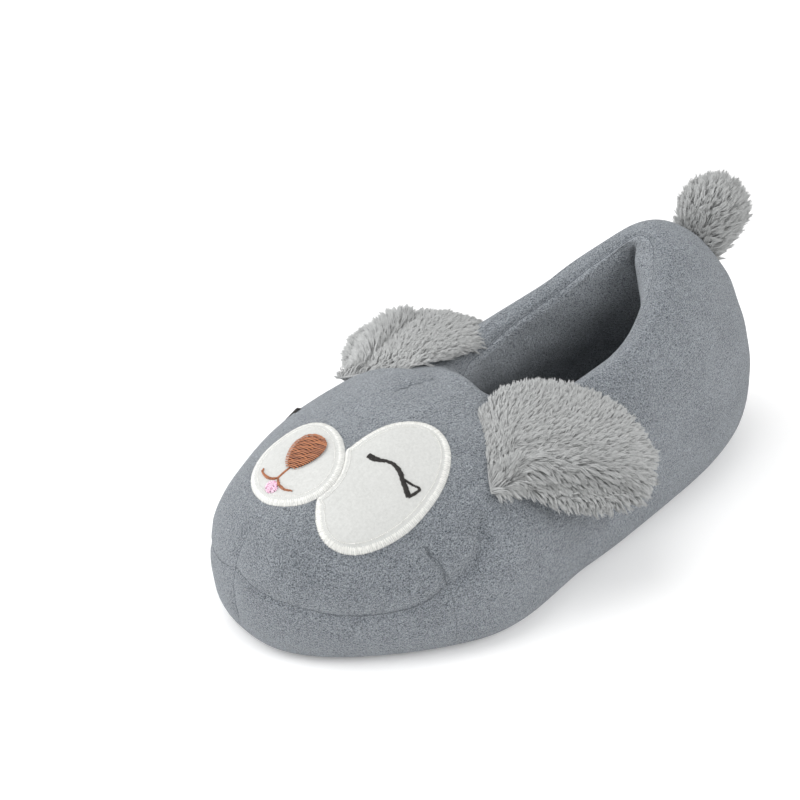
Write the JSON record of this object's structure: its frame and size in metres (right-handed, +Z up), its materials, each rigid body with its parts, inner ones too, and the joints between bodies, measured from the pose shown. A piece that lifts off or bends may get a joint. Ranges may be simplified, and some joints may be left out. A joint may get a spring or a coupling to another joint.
{
  "type": "animal slipper",
  "caption": "Stuffed plush slipper with an animal face on the toe, fur ears, a short fur tail and a thin grip sole, for the left foot.",
  "frame": {"origin": "under the middle of the sole, on the flat bottom face of the tread bar that crosses it", "axes": "+X towards the toe, +Y towards the outer side of the left foot, +Z up"},
  "size_m": [0.285, 0.1612, 0.125],
  "materials": {
    "body_plush": "short blue-grey plush with a soft nap",
    "lining_plush": "short blue-grey plush, the same cloth as the outside",
    "sole_grip": "matt dark grey grip sheet",
    "felt_white": "off-white felt with a satin-stitched edge",
    "nose_thread": "brown embroidery thread",
    "fur_grey": "light grey long-pile fur"
  },
  "bodies": {
    "root": {"outsole": "sole_grip", "upper": "body_plush", "insole": "lining_plush", "muzzle_patch": "felt_white", "eye_patch": "felt_white", "nose": "nose_thread", "ear_outer": "fur_grey", "ear_inner": "fur_grey", "tail": "fur_grey"}
  },
  "joints": []
}
